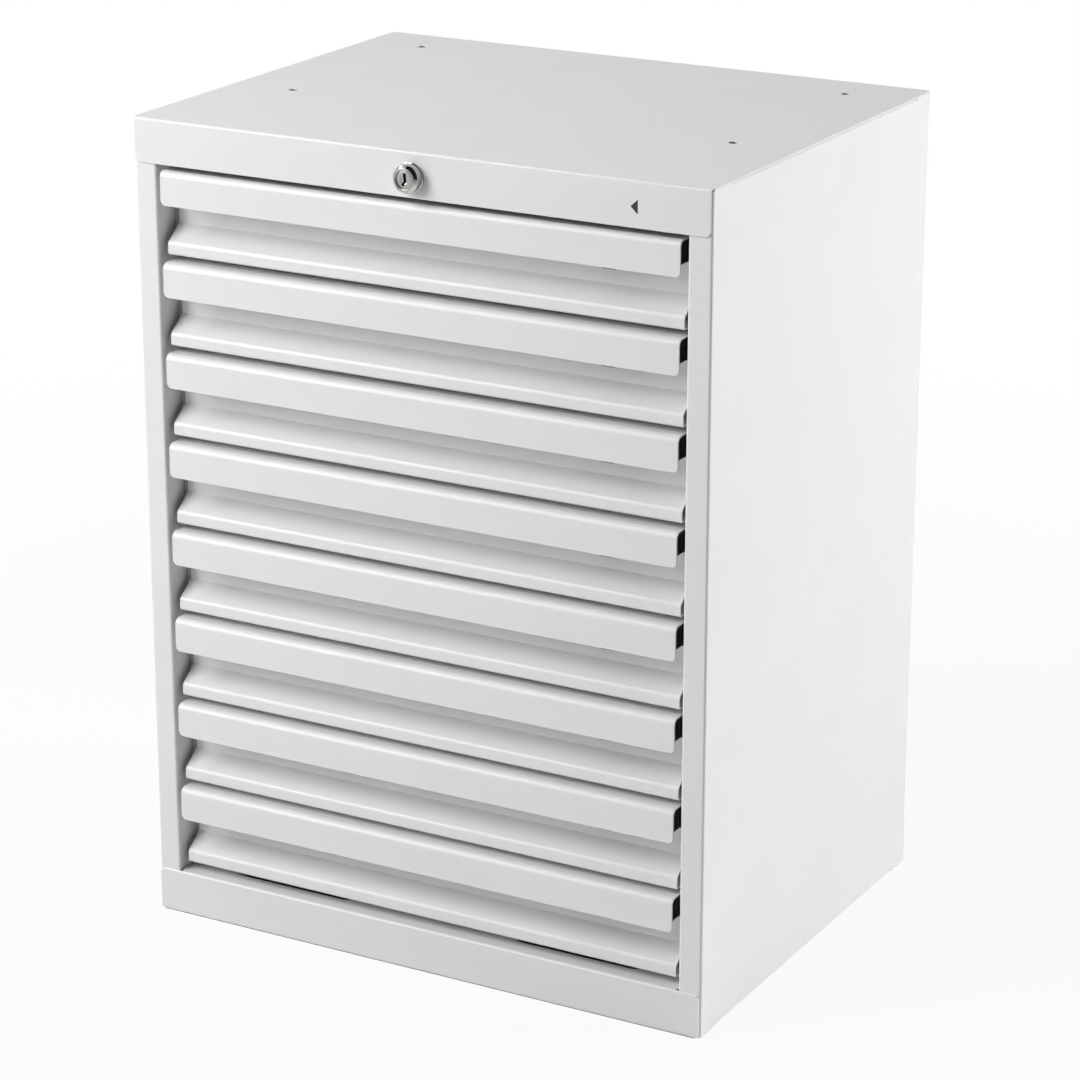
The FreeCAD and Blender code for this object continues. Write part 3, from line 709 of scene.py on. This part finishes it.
# %% Tongue, bar and tab
tongue_slant = 4.5 * mm
bar_thickness = 3.0 * mm
bar_height = 9.0 * mm
pull_outside_round = 5.0 * mm
tab_width = 10.5 * mm
tab_depth = 8.5 * mm
tab_chamfer = 2.0 * mm
moulded_edge = 0.35 * mm
bar_top = front_high.z - pull_outside_round - latch_clearance
tab_rear = latch_low.y + tab_depth
tongue = moulded_block((front_half - joint_overlap, latch_high.x), (tongue_front, tongue_rear), head_height)
start_edit(tongue, "VERT")
pick("verts", lambda at: near(at.x, latch_high.x) and near(at.y, tongue_rear))
bpy.ops.transform.translate(value=(0, -tongue_slant, 0))
end_edit()
bar = moulded_block(
    (latch_low.x, head_left + joint_overlap),
    (latch_low.y, latch_low.y + bar_thickness),
    (bar_top - bar_height, bar_top),
)
tab = moulded_block(
    (latch_low.x, latch_low.x + tab_width), (latch_low.y, tab_rear), (latch_low.z, bar_top)
)
start_edit(tab, "EDGE")
pick("edges", lambda middle: near(middle.y, tab_rear) and near(middle.x, latch_low.x + tab_width / 2))
bpy.ops.mesh.bevel(offset=tab_chamfer, segments=1, affect="EDGES")
end_edit()
for part in (head, tongue, bar, tab):
    soften(part, moulded_edge, corner=40)
latch = joined([head, tongue, bar, tab], "latch")
for_each_drawer(latch, "sliding_latch", "latch", "_latch", "black_plastic")
print("latches", drawer_count)

# %% [markdown]
# ## Case panels
# The top, sides, base and back are folded sheets whose measured shapes are already right, down to the small
# notches where two folds meet. What they lack is the softness of real sheet: a cut edge has its burr knocked
# off and a coat on it, so it is round and catches a thin bright line. A copy of each measured shape is
# cleaned of its triangles, and its cut edges are rounded. The sides and the base are crowded round their
# notches, so there the rounding has to give way.

# %% Soft copies of measured sheets
same_plane = math.radians(1)
panel_edge = 0.4 * mm
lip_edge = 0.3 * mm


def soft_shape(node, width, corner=50, crowded=False):
    """A copy of a measured node with clean faces and rounded cut edges."""
    source = frame["nodes"][node]
    twin = source.copy()
    twin.data = source.data.copy()
    twin.name = "soft_" + node
    twin.parent = None
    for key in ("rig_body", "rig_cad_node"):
        del twin[key]
    bpy.context.scene.collection.objects.link(twin)
    start_edit(twin, "VERT")
    bpy.ops.mesh.select_all(action="SELECT")
    bpy.ops.mesh.remove_doubles(threshold=merge_reach)
    bpy.ops.mesh.dissolve_limited(angle_limit=same_plane)
    end_edit()
    bpy.ops.mesh.customdata_custom_splitnormals_clear()
    soften(twin, width, corner=corner, crowded=crowded)
    return twin


def soft_copy(node, width, corner=50, crowded=False):
    """A softened copy that takes its node's place on the node's own body."""
    twin = soft_shape(node, width, corner, crowded)
    hand_over(twin, body_of(frame["nodes"][node])[0], [node], slot_of[node])
    print(twin.name, len(twin.data.polygons))


for node, width, crowded in (
    ("top_panel", panel_edge, False),
    ("left_side_panel", panel_edge, True),
    ("right_side_panel", panel_edge, True),
    ("base_panel", lip_edge, True),
    ("back_panel", panel_edge, False),
    ("base_channel", lip_edge, False),
):
    soft_copy(node, width, crowded=crowded)

# %% [markdown]
# ## Drawer boxes and slides
# Behind each front is a box of the same coated sheet, and at each side a ball bearing slide of zinc plated
# strip. They show when a drawer is open. The measured shapes are softened in the same way. The top drawer's
# are done once and copied down.

# %% Boxes, slides and uprights
box_edge = 0.28 * mm
for word, node_word, body_word, slot, edge in (
    ("folded_box", "box", "", "white_powder_coat", box_edge),
    ("soft_runners", "slide_runners", "", "zinc_plated_steel", strip_edge),
    ("soft_middles", "slide_middles", "_middles", "zinc_plated_steel", strip_edge),
):
    for_each_drawer(soft_shape("drawer_1_" + node_word, edge), word, node_word, body_word, slot)
for side in ("left", "right"):
    soft_copy("slide_cabinet_members_" + side, strip_edge)
    soft_copy("slide_uprights_" + side, strip_edge)

# %% [markdown]
# ## Lock
# A cam lock with a round housing and a plug that the key turns. Round pieces are modelled as on a lathe: half
# of the section is drawn once and spun round the axis. The housing has a narrow rim on the header, a straight
# wall, a chamfer and a flat nose with a groove. Its thread is behind the header, where it hardly shows, so
# it is drawn as rings and not as a helix. Lathe sections are written in millimetres: a radius, and a distance
# behind the front plane.

# %% Spin the housing
housing_low, housing_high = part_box("lock_housing")
lock_height = (housing_low.z + housing_high.z) / 2
lock_axis = Vector((0, 0, lock_height))


def turned(name, section, steps=72):
    """A closed section of radii and distances behind the front plane, spun round the lock's axis."""
    bpy.ops.object.select_all(action="DESELECT")
    bpy.ops.mesh.primitive_circle_add(
        vertices=len(section), radius=1, fill_type="NOTHING", location=(0, 0, 0)
    )
    made = bpy.context.object
    made.name = name
    for vertex, (radius, y) in zip(made.data.vertices, section):
        vertex.co = lock_axis + Vector((radius * mm, front_plane + y * mm, 0))
    start_edit(made, "VERT")
    bpy.ops.mesh.select_all(action="SELECT")
    bpy.ops.mesh.spin(steps=steps, angle=2 * math.pi, center=lock_axis, axis=(0, 1, 0))
    bpy.ops.mesh.select_all(action="SELECT")
    bpy.ops.mesh.remove_doubles(threshold=merge_reach)
    bpy.ops.mesh.normals_make_consistent(inside=False)
    end_edit()
    return made


plug_bore = 6.45
bore_edge = 0.2
nose_y = -9.0
nose_radius = 7.9
groove_radius = 7.2
groove_half = 0.2
groove_depth = 0.25
chamfer = [(8.1, -8.9), (9.6, -7.4)]
chamfer_round = [(9.9, -7.0), (10.05, -6.5)]
wall_radius = 10.1
straight_wall = [(wall_radius, -6.0), (wall_radius, -1.8)]
rim_hollow = [(10.25, -1.45), (10.6, -1.35)]
rim_radius = 10.75
rim_front_y = -1.1
rim_edge = 0.05
bezel_edge = 0.05 * mm
thread_root = 8.4
thread_crest = 9.0
thread_pitch = 1.5
thread_end = 21.0
housing_end = 22.0
housing_section = [
    (plug_bore, nose_y + bore_edge), (plug_bore + bore_edge, nose_y),
    (groove_radius - groove_half, nose_y), (groove_radius, nose_y + groove_depth),
    (groove_radius + groove_half, nose_y), (nose_radius, nose_y),
    *chamfer, *chamfer_round, *straight_wall, *rim_hollow,
    (rim_radius, rim_front_y), (rim_radius, -rim_edge), (rim_radius - rim_edge, 0.0),
    (thread_crest, 0.0), (thread_crest, thread_pitch),
]
turn_y = thread_pitch
while turn_y < thread_end:
    housing_section += [(thread_root, turn_y + thread_pitch / 2), (thread_crest, turn_y + thread_pitch)]
    turn_y += thread_pitch
housing_section += [(thread_root, housing_end), (plug_bore, housing_end)]
housing = turned("lock_bezel", housing_section)
soften(housing, bezel_edge, steps=1, corner=40)
hand_over(housing, "case", ["lock_housing"], "polished_nickel")
housing.data.materials.append(satin_nickel)
nose_reach = 0.3
for face in housing.data.polygons:
    if face.center.y < front_plane + (nose_y + nose_reach) * mm:
        face.material_index = 1
print("bezel faces", len(housing.data.polygons))

# %% [markdown]
# ### Plug and keyway
# The plug's face has a shallow dish round the keyway. The keyway is bent, as a real one is, so that only its
# own key goes in. It could be drawn as an outline and pushed in, but a plug has a round face, so it is cut as
# a broach cuts it: a block is bent to the keyway's shape and taken away from the plug. The plug's edges are
# softened before that, because a modifier can't round the thin faces that the cut leaves. The cut disturbs
# the shading, so that is made new at the end.

# %% Spin the plug
plug_radius = 6.4
plug_face = -8.3
plug_end = 24.0
plug_chamfer = 0.3
dish_radius = 2.9
dish_edge = 0.2
dish_depth = 0.15
plug_edge = 0.06 * mm
plug_section = [
    (0, plug_face + dish_depth), (dish_radius, plug_face + dish_depth), (dish_radius + dish_edge, plug_face),
    (plug_radius - plug_chamfer, plug_face), (plug_radius, plug_face + plug_chamfer),
    (plug_radius, plug_end - plug_chamfer), (plug_radius - plug_chamfer, plug_end), (0, plug_end),
]
plug = turned("lock_plug_face", plug_section)
soften(plug, plug_edge, steps=1, corner=35)
print("plug faces before its keyway", len(plug.data.polygons))

# %% Cut the keyway
keyway_half = 1.1 * mm
keyway_depth = (front_plane - 10 * mm, front_plane + 4 * mm)
keyway_low = lock_height - 4.5 * mm
keyway_step = 1.5 * mm
keyway_bends = (-1.0, -1.0, 0.5, 0.5, 0.2, 0.2, 0.2)  # to the side in mm, from its lower end up
keyway_rows = len(keyway_bends) - 1
key_cutter = moulded_block(
    (-keyway_half, keyway_half), keyway_depth, (keyway_low, keyway_low + keyway_rows * keyway_step)
)
start_edit(key_cutter, "FACE")
for row in range(1, keyway_rows):
    bpy.ops.mesh.select_all(action="SELECT")
    bpy.ops.mesh.bisect(plane_co=(0, 0, keyway_low + row * keyway_step), plane_no=(0, 0, 1))
for row, bend in enumerate(keyway_bends):
    pick("verts", lambda at: near(at.z, keyway_low + row * keyway_step))
    bpy.ops.transform.translate(value=(bend * mm, 0, 0))
end_edit()
cutting = plug.modifiers.new("keyway", "BOOLEAN")
cutting.operation = "DIFFERENCE"
cutting.solver = "EXACT"
cutting.object = key_cutter
apply_modifiers(plug)
bpy.data.objects.remove(key_cutter)
alone(plug)
bpy.ops.mesh.customdata_custom_splitnormals_clear()
bpy.ops.object.shade_smooth_by_angle(angle=math.radians(30))
hand_over(plug, "lock_cylinder", ["lock_plug"], "polished_nickel", satin_nickel)
print("plug faces", len(plug.data.polygons))

# %% [markdown]
# ### Nut, rod and bar
# Behind the header a nut holds the housing, a rod turns with the plug, and at the back it moves a bar with a
# peg for each drawer. Their measured shapes are softened as the panels were. The nut has wider chamfers, and
# the bar is crowded where its pegs meet it.

# %% Soften the hidden parts of the lock
nut_edge = 0.5 * mm
soft_copy("lock_nut", nut_edge, corner=40)
for node in ("lock_rod", "lock_bar", "lock_bar_guides", "lock_rod_bracket"):
    soft_copy(node, strip_edge, crowded=node == "lock_bar")

# %% [markdown]
# ## Printed arrow
# The header has one printed mark, an arrow that shows which way the latches slide. It is a film of ink, so it
# is a three-cornered circle, stretched, with its corners slightly rounded. It could be painted by the
# material, but a thin film has a sharp outline at any distance. It is a twentieth of a millimetre thick.

# %% Print the arrow
arrow_tip, arrow_tail = 168.5 * mm, 173.9 * mm
arrow_height = 10.0 * mm
arrow_corner = 0.3 * mm
ink = 0.05 * mm
bpy.ops.object.select_all(action="DESELECT")
bpy.ops.mesh.primitive_circle_add(
    vertices=3, radius=1, fill_type="NGON", rotation=(math.pi / 2, 0, 0), location=(0, 0, 0)
)
arrow = bpy.context.object
arrow.name = "latch_arrow"
apply_place(arrow)
corners = [(arrow_tip, 0), (arrow_tail, arrow_height / 2), (arrow_tail, -arrow_height / 2)]
for vertex, (x, z) in zip(arrow.data.vertices, corners):
    vertex.co = (x, front_plane, lock_height + z)
start_edit(arrow, "VERT")
bpy.ops.mesh.select_all(action="SELECT")
bpy.ops.mesh.bevel(offset=arrow_corner, segments=3, affect="VERTICES")
bpy.ops.mesh.select_all(action="SELECT")
bpy.ops.mesh.extrude_region_move(TRANSFORM_OT_translate={"value": (0, -ink, 0)})
bpy.ops.mesh.select_all(action="SELECT")
bpy.ops.mesh.normals_make_consistent(inside=False)
end_edit()
hand_over(arrow, "case", [], "black_plastic", black_screen_print)
print("arrow faces", len(arrow.data.polygons))

# %% [markdown]
# ## Studio
# The cabinet was photographed on white, in soft light, from its right and a little above. The floor and the
# world are pure white to the camera only. What lights the cabinet is a soft sky and large soft boxes on both
# sides. A dark flag stands before its right front corner: there the sky gives hardly any light, and mirrors
# show the flag. It draws the dark line down the fold of that corner and the dark band across the lock.

# %% [markdown]
# ### Floor
# A white studio floor is lit until it is as bright as paper. Here it glows instead, so the lamps can stay at
# the level that the cabinet needs. Only the camera and mirrors see the glow, and the light that reaches the
# cabinet comes from the matte floor. Near the cabinet the glow is a little less, which leaves a trace of the
# shadow. Towards the flag the glow fades from the mirrors.

# %% Glowing floor
floor_size = 30
floor_drop = -0.6 * mm
floor_colour = "#E4E4E4"
near_glow = 0.9
near_distance, far_distance = 0.5, 1.6
floor_flag_direction = (0.95, -0.31, 0.0)
floor_flag_start, floor_flag_end = 0.6, 0.9


def make_white_floor():
    material, place = new_finish("studio_floor")
    matte = add_node(material, "ShaderNodeBsdfDiffuse", values={"Color": linear(floor_colour)})
    glow = add_node(material, "ShaderNodeEmission", values={"Strength": 1.0})
    rays = add_node(material, "ShaderNodeLightPath")
    toward_flag = add_node(
        material, "ShaderNodeVectorMath", settings={"operation": "DOT_PRODUCT"},
        values={1: floor_flag_direction}, links={0: place},
    )
    not_flagged = add_node(
        material, "ShaderNodeMapRange", settings={"interpolation_type": "SMOOTHSTEP"},
        values={"From Min": floor_flag_start, "From Max": floor_flag_end, "To Min": 1.0, "To Max": 0.0},
        links={"Value": toward_flag.outputs["Value"]},
    )
    in_mirrors = add_node(
        material, "ShaderNodeMath", settings={"operation": "MULTIPLY"},
        links={0: rays.outputs["Is Glossy Ray"], 1: not_flagged.outputs["Result"]},
    )
    seen = add_node(
        material, "ShaderNodeMath", settings={"operation": "MAXIMUM"},
        links={0: rays.outputs["Is Camera Ray"], 1: in_mirrors.outputs[0]},
    )
    distance = add_node(
        material, "ShaderNodeVectorMath", settings={"operation": "LENGTH"}, links={0: place},
    )
    glow_share = add_node(
        material, "ShaderNodeMapRange", settings={"interpolation_type": "SMOOTHSTEP"},
        values={"From Min": near_distance, "From Max": far_distance, "To Min": near_glow, "To Max": 1.0},
        links={"Value": distance.outputs["Value"]},
    )
    share = add_node(
        material, "ShaderNodeMath", settings={"operation": "MULTIPLY"},
        links={0: seen.outputs[0], 1: glow_share.outputs["Result"]},
    )
    both = add_node(
        material, "ShaderNodeMixShader",
        links={0: share.outputs[0], 1: matte.outputs[0], 2: glow.outputs[0]},
    )
    show(material, both)
    return material


bpy.ops.object.select_all(action="DESELECT")
bpy.ops.mesh.primitive_plane_add(size=floor_size, location=(0, 0, floor_drop))
studio_floor = bpy.context.object
studio_floor.name = "studio_floor"
studio_floor.data.materials.append(make_white_floor())

# %% [markdown]
# ### Dark patch, painted shade
# Under the cabinet the floor must not glow, or white light would show through the slots in the deck. A plain
# matte patch, a little inside the cabinet's footprint, lies on the glowing floor there. It is mid grey,
# darker than the floor, as painted shade under the cabinet.

# %% Patch under the cabinet
patch_inset = 4 * mm
patch_size = measured_bounds[1] - measured_bounds[0] - Vector((patch_inset, patch_inset, 0)) * 2
bpy.ops.object.select_all(action="DESELECT")
bpy.ops.mesh.primitive_plane_add(size=1, location=(0, 0, floor_drop / 2))
floor_patch = bpy.context.object
floor_patch.name = "floor_under_cabinet"
floor_patch.scale = (patch_size.x, patch_size.y, 1)
apply_place(floor_patch)
painted_shade_patch = new_finish("painted_shade_patch")[0]
# Mid grey, darker than the floor's own colour: painted shade under the cabinet.
show(painted_shade_patch, add_node(painted_shade_patch, "ShaderNodeBsdfDiffuse", values={"Color": linear("#9A9A9A")}))
floor_patch.data.materials.append(painted_shade_patch)

# %% [markdown]
# ### Sky
# The world answers each kind of ray in its own way. The camera sees pure white. Mirrors see a light grey,
# and black where the flag stands. All else gets the soft sky, which is weak there. The flag could be a black
# board, but in the world it has a soft edge and never stands in the way of another view.

# %% Soft sky with a dark flag
white = (1, 1, 1, 1)
sky_strength = 0.32
flagged_sky_strength = 0.05
sky_flag_direction = (0.68, -0.68, 0.28)
sky_flag_edge = (0.45, 0.75)
mirrored_strength = 0.65
flagged_mirror_strength = 0.02
mirror_flag_direction = (0.75, -0.35, 0.56)
mirror_flag_edge = (0.28, 0.42)
world = bpy.data.worlds.new("soft_sky")
bpy.context.scene.world = world
world.use_nodes = True
world.node_tree.nodes.clear()
rays = add_node(world, "ShaderNodeLightPath")
direction = add_node(world, "ShaderNodeTexCoord").outputs["Generated"]


def flagged_light(flag_direction, flag_edge, open_strength, flagged_strength):
    """A white light from all sides that fades over the flag's soft edge."""
    toward_flag = add_node(
        world, "ShaderNodeVectorMath", settings={"operation": "DOT_PRODUCT"},
        values={1: flag_direction}, links={0: direction},
    )
    strength = add_node(
        world, "ShaderNodeMapRange", settings={"interpolation_type": "SMOOTHSTEP"},
        values={
            "From Min": flag_edge[0],
            "From Max": flag_edge[1],
            "To Min": open_strength,
            "To Max": flagged_strength,
        },
        links={"Value": toward_flag.outputs["Value"]},
    )
    return add_node(
        world, "ShaderNodeBackground", values={"Color": white},
        links={"Strength": strength.outputs["Result"]},
    )


in_mirrors = flagged_light(
    mirror_flag_direction, mirror_flag_edge, mirrored_strength, flagged_mirror_strength
)
sky = flagged_light(sky_flag_direction, sky_flag_edge, sky_strength, flagged_sky_strength)
backdrop = add_node(world, "ShaderNodeBackground", values={"Color": white, "Strength": 1.0})
seen = add_node(
    world, "ShaderNodeMath", settings={"operation": "MAXIMUM"},
    links={0: rays.outputs["Is Camera Ray"], 1: rays.outputs["Is Transmission Ray"]},
)
lit = add_node(
    world, "ShaderNodeMixShader",
    links={0: rays.outputs["Is Glossy Ray"], 1: sky.outputs[0], 2: in_mirrors.outputs[0]},
)
both = add_node(
    world, "ShaderNodeMixShader", links={0: seen.outputs[0], 1: lit.outputs[0], 2: backdrop.outputs[0]}
)
add_node(world, "ShaderNodeOutputWorld", links={"Surface": both.outputs[0]})
print("sky nodes", len(world.node_tree.nodes))

# %% [markdown]
# ### Soft boxes
# Four area lamps, each turned towards the middle of the cabinet. The one on the left lights the front, and
# the one on the right lights the right side from behind. The glossy top would mirror that one as a glare in
# a view from the left, and the one overhead in a view from above, so mirrors don't show these two.

# %% Soft boxes
cabinet_middle = (measured_bounds[0] + measured_bounds[1]) / 2


def soft_box(name, place, size, watts, mirrored=True):
    """An area lamp that faces the cabinet. Mirrors and gloss don't show it where mirrored is false."""
    bpy.ops.object.select_all(action="DESELECT")
    bpy.ops.object.light_add(type="AREA", location=place)
    lamp = bpy.context.object
    lamp.name = name
    lamp.data.shape = "RECTANGLE"
    lamp.data.size = size[0]
    lamp.data.size_y = size[1]
    lamp.data.energy = watts
    aim = cabinet_middle - Vector(place)
    lamp.rotation_euler = aim.to_track_quat("-Z", "Y").to_euler()
    lamp.visible_glossy = mirrored
    print(name, watts, "W")


soft_box("left_front_box", place=(-1.15, -1.35, 1.48), size=(0.9, 1.6), watts=34)
soft_box("right_box", place=(2.9, 2.1, 1.1), size=(1.8, 1.8), watts=105, mirrored=False)
soft_box("rim_strip", place=(-1.9, -0.4, 1.9), size=(0.6, 1.0), watts=4.5)
soft_box("overhead_box", place=(0.2, 0.2, 2.6), size=(1.4, 1.2), watts=3, mirrored=False)

# %% [markdown]
# ## Camera
# A long lens, 29 degrees to the right of the front and 19 degrees above it. The place comes from matching
# the cabinet's corners in the photograph, so it is in the same metres as everything else.

# %% Camera
azimuth = math.radians(29.15)
elevation = math.radians(18.93)
camera_place = (1.2524, -2.2431, 1.1597)
lens_length = 121.4
sensor_width = 36.0
bpy.ops.object.select_all(action="DESELECT")
bpy.ops.object.camera_add(
    location=camera_place, rotation=(math.pi / 2 - elevation, 0, azimuth)
)
camera = bpy.context.object
camera.data.lens = lens_length
camera.data.sensor_width = sensor_width
bpy.context.scene.camera = camera
bpy.context.scene.view_settings.view_transform = "Standard"
print("camera lens", camera.data.lens)

# %% [markdown]
# ## Sizes
# The dressed cabinet has to keep the measured one's size. The measured box is printed.

# %% Print the measured size
print("measured", [round(value, 4) for corner in measured_bounds for value in corner])
